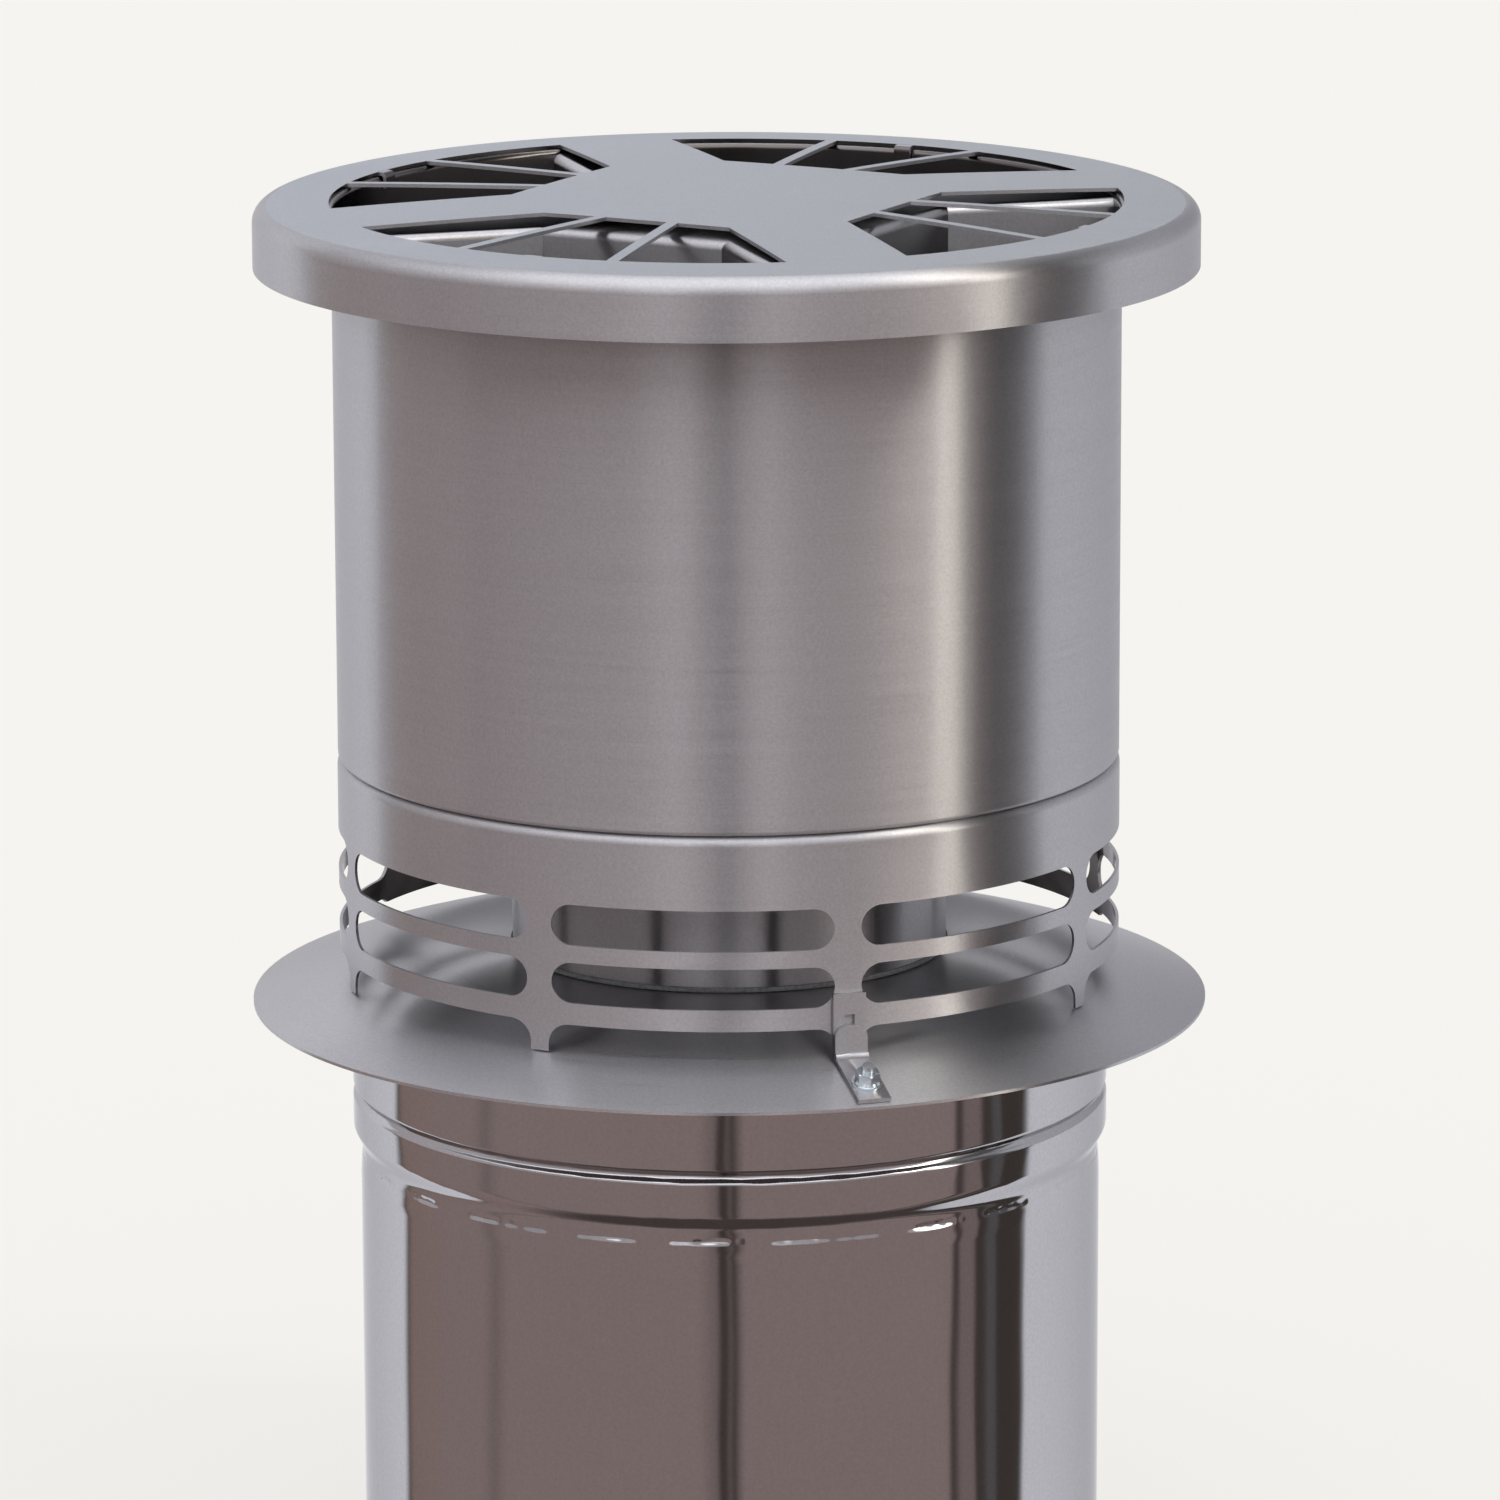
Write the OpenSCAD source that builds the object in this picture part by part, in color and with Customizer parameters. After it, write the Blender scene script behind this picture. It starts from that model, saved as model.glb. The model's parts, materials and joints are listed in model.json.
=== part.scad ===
/* [Flue section] */
// Inside diameter of the flue liner
flue_bore_d = 150; // [136:1:160]
// Outside diameter of the flue jacket
jacket_d = 250; // [236:1:262]
// Height of the flue section, from its foot to the collar's rim
flue_h = 200; // [140:5:400]
// Sheet thickness of the liner and the jacket
flue_sheet = 0.8; // [0.5:0.1:1.2]
// Depth of the socket at the liner's foot, up to its stop bead
socket_depth = 50; // [36:1:60]
// Depth of the stop bead rolled into the liner
stop_depth = 1.4; // [0.8:0.1:1.8]
// How far the coupling swell stands out from the jacket
swell_out = 2.4; // [1:0.2:3.6]
// Height of the coupling swell below the collar's rim
swell_h = 42; // [38:1:60]
// Height of the rolled-in step under the swell
swell_step_h = 7.5; // [5:0.5:12]
// Depth of the step's undercut below the jacket's face
step_undercut = 0.6; // [0.2:0.1:1]
// Height over which the undercut runs back out to the jacket's face
step_return_h = 10.4; // [6:0.2:14]
// Depth of the bead rolled into the swell
bead_depth = 1.5; // [0.6:0.1:2]
// Height of the bead rolled into the swell
bead_h = 5.6; // [4:0.2:8]
// Distance from the collar's rim down to the top of the bead
bead_drop = 27; // [18:1:30]

/* [Base collar] */
// How far the collar reaches out beyond the slotted ring
collar_reach = 29.3; // [28:0.1:40]
// Radius of the collar's dished curve
collar_curve_r = 297; // [240:1:400]
// Radius at which the collar's curve is level
collar_level_r = 60; // [40:1:66]
// Thickness of the collar sheet
collar_t = 1; // [0.8:0.1:1.6]
// Length of the spigot below the collar's rim
spigot_len = 60; // [40:1:80]
// Gap round the spigot in the liner
spigot_gap = 1; // [0.6:0.1:2]
// Height of the spigot's lip seal
seal_h = 6; // [3:0.5:10]
// Height of the seal above the spigot's end
seal_up = 12; // [8:0.5:20]

/* [Fan casing] */
// Outside diameter of the casing
casing_d = 262; // [256:1:280]
// Height of the casing between its seam and the cap
casing_h = 185; // [176:1:230]
// Sheet thickness of the casing, the ring and the duct
sheet = 1; // [0.8:0.1:1.4]
// Width of the joining flanges
flange_w = 10; // [7:0.5:12]
// Radius of the casing's bends
casing_bend_r = 1.6; // [1.5:0.1:2.4]

/* [Slotted ring] */
// Number of legs
leg_count = 8; // [6:1:10]
// Width of a leg between two slots
leg_w = 9; // [7:0.5:12]
// Width of a leg's foot
foot_w = 6.6; // [5:0.2:9]
// Height of the open gaps between the feet
gap_h = 9.6; // [8:0.2:14]
// Corner radius of the open gaps
gap_corner_r = 7; // [4:0.5:8]
// Number of legs at the back that have no foot
short_legs = 4; // [1:1:4]
// How far the ring's edge hangs below the gaps' tops between those legs
back_drop = 1.7; // [1:0.1:3]
// Height of a slot
slot_h = 13.6; // [10:0.2:16]
// Height of the bar under the lower slots
lower_bar_h = 7.1; // [5:0.1:10]
// Height of the bar between the slots
upper_bar_h = 5.7; // [4:0.1:8]
// Height of the plain band above the slots
band_h = 24.5; // [18:0.1:40]
// Radius of the band's upper shoulder
shoulder_r = 3.4; // [2:0.1:5]
// How far the ring stands proud of the casing
ring_proud = 0.2; // [0:0.1:0.6]

/* [Top cap] */
// How far the cap reaches out beyond the casing
cap_reach = 26; // [20:0.5:36]
// Height of the cap's rim
cap_rim_h = 20.6; // [14:0.2:26]
// Rise of the cap's dome
cap_dome = 3; // [1:0.1:5]
// Radius of the cap's fold
cap_fold_r = 5.5; // [2.5:0.1:7]
// Thickness of the cap sheet
cap_t = 1.2; // [1:0.1:1.6]
// Distance from the axis to the flats of the cap's hub
hub_half = 62.5; // [58:0.5:68]
// Width of the cap's arms
arm_w = 40; // [34:0.5:46]
// Width of the bars across the openings
bar_w = 4; // [3:0.2:6]
// Angle between a bar and the middle of its opening
bar_angle = 12; // [9:0.5:15]
// How far the openings reach past the casing's face
vent_out = 0.6; // [0.2:0.1:1]
// Width of the lugs that hold the cap inside the casing's rim
lug_w = 6; // [4:0.5:10]
// How far the lugs reach down from the cap
lug_h = 5.5; // [4:0.5:8]

/* [Inner duct] */
// Length of the inlet cone above its plate
cone_h = 17; // [14:0.5:19]
// Inside radius of the cone's throat
throat_r = 58; // [54:0.5:60]
// Height of the duct's foot gasket
gasket_h = 1.5; // [1:0.1:3]

/* [Motor housing] */
// How far the housing stands out beyond the edges of the cap's openings
housing_proud = 3; // [1.5:0.1:4]
// Radius of the housing's folded edge
housing_fold_r = 3; // [2:0.1:4]
// Depth of the housing
housing_depth = 98; // [94:0.5:110]
// Gap between the housing and the cap at the casing
housing_gap = 1.6; // [1:0.1:3]
// Thickness of the plate that carries the motor
plate_t = 2; // [1.5:0.1:3]
// Thickness of the insulating board under the plate
board_t = 8; // [6:0.5:10]

/* [Motor] */
// Outside radius of the motor's casing
motor_r = 44; // [42:0.5:48]
// Height of the motor's casing
motor_h = 58; // [54:0.5:70]
// Wall of the motor's casing
motor_wall = 3; // [2:0.1:4]
// Space between the motor's core and each bearing
core_space = 1; // [0.6:0.1:3]
// Radius of the motor shaft
shaft_r = 6; // [5:0.1:7]
// Outside radius of the ball bearings
bearing_r = 14; // [12:0.5:16]
// Height of the ball bearings
bearing_h = 9; // [7:0.5:10]

/* [Impeller] */
// Radius of the impeller
impeller_r = 100; // [90:1:108]
// Height of the impeller between its eye and its back plate
impeller_h = 48; // [44:0.5:52]
// Number of blades
blade_count = 10; // [7:1:12]
// Thickness of a blade
blade_t = 1.2; // [1:0.1:2]
// Angle that a blade sweeps back between its ends
blade_sweep = 42; // [30:1:50]
// Rise of the shroud from the eye to the rim
shroud_rise = 14; // [10:0.5:18]
// Thickness of the impeller's sheets
impeller_t = 1.5; // [1.2:0.1:2]
// Radius of the cooling disc
cooling_r = 42; // [36:0.5:45]

/* [Hinge and catch] */
// Width of the catch and of the hinge's upper leaf
strap_w = 11; // [9:0.5:14]
// Height of the catch strap
strap_h = 19.4; // [18:0.2:24]
// Height of the strap above the feet
strap_up = 1.9; // [1:0.1:4]
// Thickness of the strap, the bracket and the hinge leaves
strap_t = 1.5; // [1.2:0.1:2]
// Gap between the strap and the bracket's tab
catch_gap = 0.3; // [0.3:0.1:1]
// Width of the square hole in the strap
strap_hole = 3.4; // [2.5:0.1:5]
// Height of the bracket's tab above the collar's rim
tab_top_h = 21.3; // [20:0.2:23]
// Corner radius of the bracket's tab
tab_corner_r = 4; // [2:0.1:5]
// Distance from the collar's edge to the catch screw
screw_inset = 10.5; // [9:0.1:12]
// Radius of the hinge pin
hinge_pin_r = 2; // [1.6:0.1:2.5]
// Width of each of the lower leaf's knuckles
knuckle_w = 8.5; // [6:0.5:12]
// Radius of the screw that holds the catch
screw_r = 2; // [1.5:0.1:2.5]
// Width of the catch nut across its flats
nut_flats = 7; // [6:0.1:8]

/* [Cable gland] */
// Radius of the cable hole
cable_r = 5; // [3:0.5:6]
// Width of the gland's hexagon across its flats
gland_flats = 24; // [20:0.5:27]
// Height of the gland above the casing's seam
gland_height = 140; // [120:1:150]

/* [Hidden] */
$fn = 96;

// Small play between fixed pieces, and in a running fit
seat_gap = 0.1;
run_gap = 0.05;
// Gap between the closed head and the base
rest_gap = 0.3;
// Running gap round the impeller's eye, and how far the cone reaches into the eye
eye_gap = 2;
eye_lap = 4;
// Cuts run past the faces they open by this much
past = 1;
// Points along a rounded stretch
arc_steps = 8;
dish_steps = 20;
return_steps = 4;
// Steps along a tight fold, a blade and the shroud
fold_steps = 5;
blade_steps = 8;
shroud_steps = 10;

// Flue: thickness of its end rings, and how far the upper one lies below the collar's rim
end_ring_t = 1;
top_ring_drop = 3;

jacket_r = jacket_d / 2;
liner_r = flue_bore_d / 2;
casing_r = casing_d / 2;
ring_r = casing_r + ring_proud;
collar_r = ring_r + collar_reach;
cap_r = casing_r + cap_reach;
vent_r = casing_r + vent_out;
spigot_r = liner_r - spigot_gap;
duct_r = spigot_r - sheet;

// Top face of the collar at a radius
function dish_z(r) = flue_h + collar_t
    + sqrt(pow(collar_curve_r, 2) - pow(r - collar_level_r, 2))
    - sqrt(pow(collar_curve_r, 2) - pow(collar_r - collar_level_r, 2));
// Downhill angle of the collar at a radius
function dish_slope(r) = asin((r - collar_level_r) / collar_curve_r);
// Points along an arc
function arc(cx, cy, r, a0, a1, n = arc_steps) =
    [for (i = [0:n]) let (a = a0 + (a1 - a0) * i / n) [cx + r * cos(a), cy + r * sin(a)]];
// Smooth step from 0 to 1
function ease(t) = (1 - cos(180 * t)) / 2;

sector = 360 / leg_count;
foot_z = dish_z(ring_r - sheet) + rest_gap;
lower_slot_z = foot_z + gap_h + lower_bar_h;
upper_slot_z = lower_slot_z + slot_h + upper_bar_h;
seam_z = upper_slot_z + slot_h + band_h;
casing_top_z = seam_z + casing_h;
flange_in_r = casing_r - sheet - flange_w;
flange_out_r = casing_r + flange_w;
cap_plate_r = cap_r - cap_fold_r;
// Rise of the cap's dome at a radius, above the plate's edge
function dome_rise(r) = cap_dome * (1 - pow(r / cap_plate_r, 2));
cap_edge_z = casing_top_z + cap_t - dome_rise(flange_out_r) + seat_gap / 2;
duct_foot_z = dish_z(duct_r - sheet) + rest_gap + gasket_h;
cone_plate_z = seam_z + sheet;
cone_plate_t = sheet;

housing_top_z = cap_edge_z + dome_rise(casing_r) - cap_t - housing_gap;
plate_z = housing_top_z - housing_depth;
board_z = plate_z - board_t;
trim_r = casing_r - sheet - seat_gap;
// Housing: its hub's half width, its arms' half width, and where their walls meet
housing_hub = hub_half + housing_proud;
housing_arm = arm_w / 2 + housing_proud;
housing_corner = housing_hub * sqrt(2) - housing_arm;
// Cap's lugs: their bend and their gap to the casing's wall
lug_bend_r = 2;
lug_gap = 0.4;
// How far the gasket stands out under the duct
gasket_proud = 0.6;

// Cable gland: its parts inside and outside the casing's wall
gland_wall = 3;
gland_thread_r = cable_r + gland_wall;
gland_in = 8;
gland_hex_h = 6;
gland_body_r = gland_flats / 2 - 1.4;
gland_body_h = 11;
gland_nut_flats = gland_flats - 2;
gland_nut_h = 8;
gland_dome_h = 5;
gland_lip = 2.5;

eye_r = throat_r + sheet + eye_gap + impeller_t;
eye_z = cone_plate_z + cone_h - eye_lap;
back_z = eye_z + impeller_h;
blade_in_r = eye_r + 2;
blade_out_r = impeller_r - 2;
eye_lip_h = 4;
cone_rim_r = casing_r - casing_bend_r - seat_gap;

// Impeller's hub: its flange and its boss
hub_flange_r = 26;
hub_flange_t = 3;
hub_boss_r = 13;
hub_boss_h = 16;
// Shaft's thread, and the nut that holds the hub on it
thread_r = shaft_r - 1;
thread_h = 11;
hub_nut_flats = 17;
hub_nut_h = 8;
hub_washer_r = 10;
hub_washer_t = 1;
// Cooling disc: its sheet, its boss and its vanes
disc_t = 1.5;
disc_boss_r = shaft_r + 5;
disc_boss_h = 7;
vane_count = 8;
vane_t = 1.5;
vane_h = 5;
vane_inset = 1.5;
// How much thicker a blade is drawn along its circle, because it leans back
blade_slant = 1.4;

// Motor: its rotor, its cover, its foot and its fins
rotor_r = 25;
air_gap = 0.5;
motor_z = plate_z + plate_t;
motor_top_z = motor_z + motor_h;
cover_t = 3;
cover_boss_h = 3;
cover_boss_wall = 6;
shaft_clear = 2;
foot_reach = 11;
foot_arm_w = 16;
foot_t = 5;
foot_screw_r = 2;
foot_screw_in = 6;
foot_screw_up = 0.5;
screw_head_r = 4.2;
screw_head_t = 3.1;
fin_count = 16;
fin_t = 2;
fin_out = 4;
fin_low = 10;
fin_high = 8;
winding_h = 5;
winding_gap = 3;
// Clearances round the bearing, the cooling disc and the screw heads
bearing_clear = 2;
disc_clear = 3;
head_clear = 0.8;
head_room = 5;

low_bearing_z = motor_z + motor_wall;
top_bearing_z = motor_top_z - bearing_h;
core_z = low_bearing_z + bearing_h + core_space;
core_h = top_bearing_z - core_space - core_z;
shaft_bottom_z = back_z - hub_boss_h - thread_h;

screw_rad = collar_r - screw_inset;
foot_slope = dish_slope(screw_rad);
tab_in_r = ring_r + strap_t + catch_gap;
knuckle_r = hinge_pin_r + run_gap + strap_t;
hinge_y = ring_r + knuckle_r;
hinge_dy = screw_rad - hinge_y;
hinge_dz = (knuckle_r + hinge_dy * sin(foot_slope)) / cos(foot_slope);
hinge_z = dish_z(screw_rad) + hinge_dz;
hinge_gap = 0.3;
leaf_half_w = strap_w / 2 + hinge_gap + knuckle_w;
strap_z = foot_z + strap_up;
// Hinge's pin and rivets, and how far the leaf stays inside the collar's edge
pin_head_t = 1.2;
pin_head_lip = 1.2;
rivet_r = 2;
rivet_inset = 6;
rivet_head_r = 3.8;
rivet_head_t = 1.4;
rivet_tail_r = 3;
rivet_tail_t = 1.2;
leaf_edge = 2;
// Catch's screw and nut, and how far its bracket stays inside the collar's edge
bracket_edge = 1.5;
catch_head_r = 4;
catch_head_t = 2.4;
catch_screw_up = 7;
nut_h = 4.8;
nut_washer_r = nut_flats * 0.715;
nut_washer_t = 1;
nut_cone_r = nut_flats * 0.7;
nut_cone_top_r = nut_flats * 0.525;
nut_cone_h = 1.9;
nut_top_r = nut_flats * 0.53;
// Pieces that touch along a thread are drawn this far apart
thread_gap = 0.02;

// Stands its children on the collar's slope at the screw's radius, facing an angle
module on_collar(angle)
    rotate([0, 0, angle])
        translate([screw_rad, 0, dish_z(screw_rad)])
            rotate([0, foot_slope, 0])
                children();

// A ring with a rectangular section
module tube(r_out, r_in, z, h)
    translate([0, 0, z])
        difference() {
            cylinder(r = r_out, h = h);
            translate([0, 0, -past]) cylinder(r = r_in, h = h + 2 * past);
        }

// A hexagonal prism by its width across flats
module hex_bar(flats, h)
    cylinder(r = flats / 2 / cos(30), h = h, $fn = 6);

// Outline of the jacket's outer face, drawn down from the top
function jacket_face() = concat(
    [[jacket_r + swell_out, dish_z(jacket_r + swell_out) - collar_t - seat_gap]],
    [for (i = [0:arc_steps])
        [jacket_r + swell_out - bead_depth * (1 - cos(360 * i / arc_steps)) / 2,
         flue_h - bead_drop - bead_h * i / arc_steps]],
    [for (i = [0:arc_steps])
        [jacket_r + swell_out - (swell_out + step_undercut) * ease(i / arc_steps),
         flue_h - swell_h - swell_step_h * i / arc_steps]],
    [for (i = [1:return_steps])
        [jacket_r - step_undercut * (1 - ease(i / return_steps)),
         flue_h - swell_h - swell_step_h - step_return_h * i / return_steps]],
    [[jacket_r, 0]]);

module flue_jacket() {
    face = jacket_face();
    last = len(face) - 1;
    back = [for (i = [last:-1:0]) [face[i][0] - flue_sheet, face[i][1]]];
    color("lightgray")
        rotate_extrude()
            polygon(concat(face, back));
}

module flue_liner() {
    bore = [
        [liner_r, 0],
        [liner_r, socket_depth],
        [liner_r - stop_depth, socket_depth + stop_depth],
        [liner_r - stop_depth, socket_depth + 3 * stop_depth],
        [liner_r, socket_depth + 4 * stop_depth],
        [liner_r, flue_h - collar_t]];
    back = [for (i = [len(bore) - 1:-1:0]) [bore[i][0] + flue_sheet, bore[i][1]]];
    color("silver")
        rotate_extrude()
            polygon(concat(bore, back));
}

module flue_bottom_ring()
    color("silver")
        tube(jacket_r - flue_sheet - seat_gap, liner_r + flue_sheet + seat_gap, 0, end_ring_t);

module flue_insulation()
    color("wheat")
        tube(jacket_r - flue_sheet - step_undercut - bead_depth, liner_r + flue_sheet + seat_gap,
            end_ring_t, flue_h - top_ring_drop - end_ring_t);

module flue_top_ring()
    color("silver")
        tube(jacket_r + swell_out - flue_sheet - seat_gap, liner_r + flue_sheet + seat_gap,
            flue_h - top_ring_drop, end_ring_t);

module base_collar() {
    step = (collar_r - duct_r + sheet) / dish_steps;
    radii = [for (i = [0:dish_steps]) duct_r - sheet + i * step];
    top = [for (r = radii) [r, dish_z(r)]];
    under = [for (i = [dish_steps:-1:0]) [radii[i], dish_z(radii[i]) - collar_t]];
    color("lightsteelblue")
        difference() {
            rotate_extrude() polygon(concat(top, under));
            on_collar(-90) cylinder(r = screw_r + seat_gap, h = 4 * collar_t, center = true);
            for (s = [-1, 1])
                on_collar(90)
                    translate([0, s * (leaf_half_w - rivet_inset), 0])
                        cylinder(r = rivet_r + seat_gap / 2, h = 4 * collar_t, center = true);
        }
}

module spigot()
    color("silver")
        tube(spigot_r, duct_r, flue_h - spigot_len,
            spigot_len + dish_z(spigot_r) - flue_h - collar_t - seat_gap / 2);

module spigot_seal()
    color("dimgray")
        tube(liner_r - run_gap, spigot_r + run_gap, flue_h - spigot_len + seal_up, seal_h);

// Knuckle of the hinge, along X
module knuckle(x, w)
    translate([x, hinge_y, hinge_z])
        rotate([0, 90, 0])
            cylinder(r = knuckle_r, h = w);

module hinge_base_leaf()
    color("silver")
        difference() {
            union() {
                knuckle(-leaf_half_w, 2 * leaf_half_w);
                on_collar(90)
                    translate([-hinge_dy * cos(foot_slope) - hinge_dz * sin(foot_slope),
                            -leaf_half_w, 0])
                        cube([hinge_dy + knuckle_r + screw_inset - leaf_edge, 2 * leaf_half_w,
                                strap_t]);
            }
            translate([-strap_w / 2 - hinge_gap, hinge_y - 2 * knuckle_r, hinge_z - 2 * knuckle_r])
                cube([strap_w + 2 * hinge_gap, 3 * knuckle_r + hinge_gap, 4 * knuckle_r]);
            translate([-leaf_half_w - past, hinge_y, hinge_z])
                rotate([0, 90, 0])
                    cylinder(r = hinge_pin_r + run_gap / 2, h = 2 * (leaf_half_w + past));
            for (s = [-1, 1])
                on_collar(90)
                    translate([0, s * (leaf_half_w - rivet_inset), -past])
                        cylinder(r = rivet_r + seat_gap / 2, h = strap_t + 2 * past);
        }

module hinge_pin()
    color("gainsboro")
        translate([0, hinge_y, hinge_z])
            rotate([0, 90, 0]) {
                cylinder(r = hinge_pin_r, h = 2 * (leaf_half_w + pin_head_t), center = true);
                for (s = [-1, 1])
                    translate([0, 0, s * (leaf_half_w + pin_head_t)])
                        cylinder(r = hinge_pin_r + pin_head_lip, h = 2 * (pin_head_t - seat_gap),
                            center = true);
            }

module hinge_rivets()
    color("gainsboro")
        for (s = [-1, 1])
            on_collar(90)
                translate([0, s * (leaf_half_w - rivet_inset), 0]) {
                    translate([0, 0, -collar_t - rivet_tail_t])
                        cylinder(r = rivet_r, h = rivet_tail_t + collar_t + strap_t + past);
                    translate([0, 0, strap_t])
                        cylinder(r1 = rivet_head_r, r2 = rivet_r, h = rivet_head_t);
                    translate([0, 0, -collar_t - rivet_tail_t - seat_gap])
                        cylinder(r = rivet_tail_r, h = rivet_tail_t);
                }

// Plate with a rounded head, standing up in its own plane
module round_tab(w, h, corner)
    linear_extrude(strap_t)
        union() {
            translate([-w / 2, 0]) square([w, h - corner]);
            translate([-w / 2 + corner, 0]) square([w - 2 * corner, h]);
            for (s = [-1, 1]) translate([s * (w / 2 - corner), h - corner]) circle(r = corner);
        }

module catch_bracket() {
    bend_z = dish_z(screw_rad) + (screw_rad - tab_in_r - strap_t) * tan(foot_slope)
        + strap_t / cos(foot_slope);
    bend_x = (screw_rad - tab_in_r - strap_t) / cos(foot_slope) - strap_t * sin(foot_slope);
    color("lightgray")
        difference() {
            union() {
                translate([0, -tab_in_r, bend_z])
                    rotate([90, 0, 0])
                        round_tab(strap_w, flue_h + tab_top_h - bend_z, tab_corner_r);
                translate([-strap_w / 2, -tab_in_r - strap_t, bend_z])
                    rotate([0, 90, 0])
                        cylinder(r = strap_t, h = strap_w);
                on_collar(-90)
                    translate([-bend_x, -strap_w / 2, 0])
                        cube([bend_x + screw_inset - bracket_edge, strap_w, strap_t]);
            }
            on_collar(-90)
                translate([0, 0, -past]) cylinder(r = screw_r + seat_gap, h = strap_t + 2 * past);
        }
}

module catch_screw()
    color("whitesmoke")
        on_collar(-90) {
            translate([0, 0, -collar_t - past])
                cylinder(r = screw_r, h = past + collar_t + strap_t + catch_screw_up);
            translate([0, 0, -collar_t - seat_gap - catch_head_t])
                cylinder(r = catch_head_r, h = catch_head_t);
        }

module catch_nut()
    color("whitesmoke")
        on_collar(-90)
            translate([0, 0, strap_t + thread_gap])
                difference() {
                    union() {
                        cylinder(r = nut_washer_r, h = nut_washer_t);
                        cylinder(r1 = nut_cone_r, r2 = nut_cone_top_r, h = nut_cone_h);
                        intersection() {
                            hex_bar(nut_flats, nut_h);
                            cylinder(r1 = nut_top_r + nut_h, r2 = nut_top_r, h = nut_h);
                        }
                    }
                    translate([0, 0, -past]) cylinder(r = screw_r + thread_gap, h = nut_h + 2 * past);
                }

// Cutter for one window between two legs, its corners round at the top or all round
module window_cut(leg, z0, z1, corner, round_foot) {
    half = ring_r * sin(sector / 2 - asin(leg / 2 / ring_r));
    near = ring_r * cos(sector / 2) - sheet - past;
    rotate([0, 0, sector / 2])
        translate([near, 0, 0])
            rotate([90, 0, 90])
                linear_extrude(ring_r - near + past)
                    union() {
                        translate([corner - half, z0])
                            square([2 * (half - corner), z1 - z0]);
                        if (!round_foot)
                            translate([-half, z0]) square([2 * half, z1 - corner - z0]);
                        for (s = [-1, 1], z = round_foot ? [(z0 + z1) / 2] : [z1 - corner])
                            translate([s * (half - corner), z]) circle(r = corner);
                    }
}

// Cutter that takes the feet off the legs at the back, so that the head can tip over them
module back_cut() {
    past_leg = asin((foot_w + gap_corner_r) / 2 / ring_r);
    span = (short_legs - 1) * sector + 2 * past_leg;
    translate([0, 0, foot_z - past])
        linear_extrude(gap_h - back_drop + past)
            polygon(concat([[0, 0]],
                [for (i = [0:arc_steps]) let (a = i / arc_steps * span - past_leg)
                    2 * ring_r * [cos(a), sin(a)]]));
}

module slotted_ring() {
    face = concat(
        [[ring_r, foot_z]],
        arc(ring_r - shoulder_r, seam_z - shoulder_r, shoulder_r, 0, 90),
        [[flange_in_r, seam_z], [flange_in_r, seam_z - sheet]],
        arc(ring_r - shoulder_r, seam_z - shoulder_r, shoulder_r - sheet, 90, 0),
        [[ring_r - sheet, foot_z]]);
    color("lightgray")
        difference() {
            rotate_extrude() polygon(face);
            for (i = [0:leg_count - 1])
                rotate([0, 0, i * sector]) {
                    if (i >= short_legs - 1)
                        window_cut(foot_w, foot_z - past, foot_z + gap_h, gap_corner_r, false);
                    window_cut(leg_w, lower_slot_z, lower_slot_z + slot_h, slot_h / 2, true);
                    window_cut(leg_w, upper_slot_z, upper_slot_z + slot_h, slot_h / 2, true);
                }
            back_cut();
        }
}

module outer_casing() {
    low_z = seam_z + seat_gap / 2;
    face = concat(
        [[flange_in_r, low_z]],
        arc(casing_r - casing_bend_r, low_z + casing_bend_r, casing_bend_r, -90, 0),
        arc(casing_r + casing_bend_r - sheet, casing_top_z - casing_bend_r, casing_bend_r - sheet,
            180, 90),
        [[flange_out_r, casing_top_z - sheet], [flange_out_r, casing_top_z]],
        arc(casing_r + casing_bend_r - sheet, casing_top_z - casing_bend_r, casing_bend_r,
            90, 180),
        arc(casing_r - casing_bend_r, low_z + casing_bend_r, casing_bend_r - sheet, 0, -90),
        [[flange_in_r, low_z + sheet]]);
    color("gray")
        difference() {
            rotate_extrude() polygon(face);
            gland_hole();
        }
}

// Stands its children on the casing's back, at the cable's height, facing out
module on_back_wall()
    translate([0, casing_r, seam_z + gland_height])
        rotate([-90, 0, 0])
            children();

module gland_hole()
    on_back_wall()
        cylinder(r = gland_thread_r + run_gap, h = 2 * gland_in, center = true);

// One opening of the cap, in the first quarter
module vent() {
    flat = hub_half * sqrt(2);
    arm = arm_w / 2;
    difference() {
        intersection() {
            circle(r = vent_r);
            polygon([[flat - arm, arm], [cap_r, arm], [cap_r, cap_r], [arm, cap_r],
                [arm, flat - arm]]);
        }
        for (s = [-1, 1])
            rotate([0, 0, 45 + s * bar_angle])
                translate([0, -bar_w / 2])
                    square([cap_r, bar_w]);
    }
}

module top_cap() {
    top = [for (i = [0:dish_steps]) let (r = cap_plate_r * i / dish_steps)
        [r, cap_edge_z + dome_rise(r)]];
    under = [for (i = [dish_steps:-1:0]) let (r = cap_plate_r * i / dish_steps)
        [r, cap_edge_z + dome_rise(r) - cap_t]];
    face = concat(
        top,
        arc(cap_plate_r, cap_edge_z - cap_fold_r, cap_fold_r, 80, 0),
        [[cap_r, cap_edge_z - cap_rim_h], [cap_r - cap_t, cap_edge_z - cap_rim_h]],
        arc(cap_plate_r, cap_edge_z - cap_fold_r, cap_fold_r - cap_t, 0, 80),
        under);
    color("lightsteelblue") {
        difference() {
            rotate_extrude() polygon(face);
            for (i = [0:3])
                rotate([0, 0, i * 90])
                    translate([0, 0, cap_edge_z - cap_rim_h])
                        linear_extrude(2 * cap_rim_h)
                            vent();
        }
        for (i = [0:3])
            rotate([0, 0, 45 + i * 90])
                cap_lug();
    }
}

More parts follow.
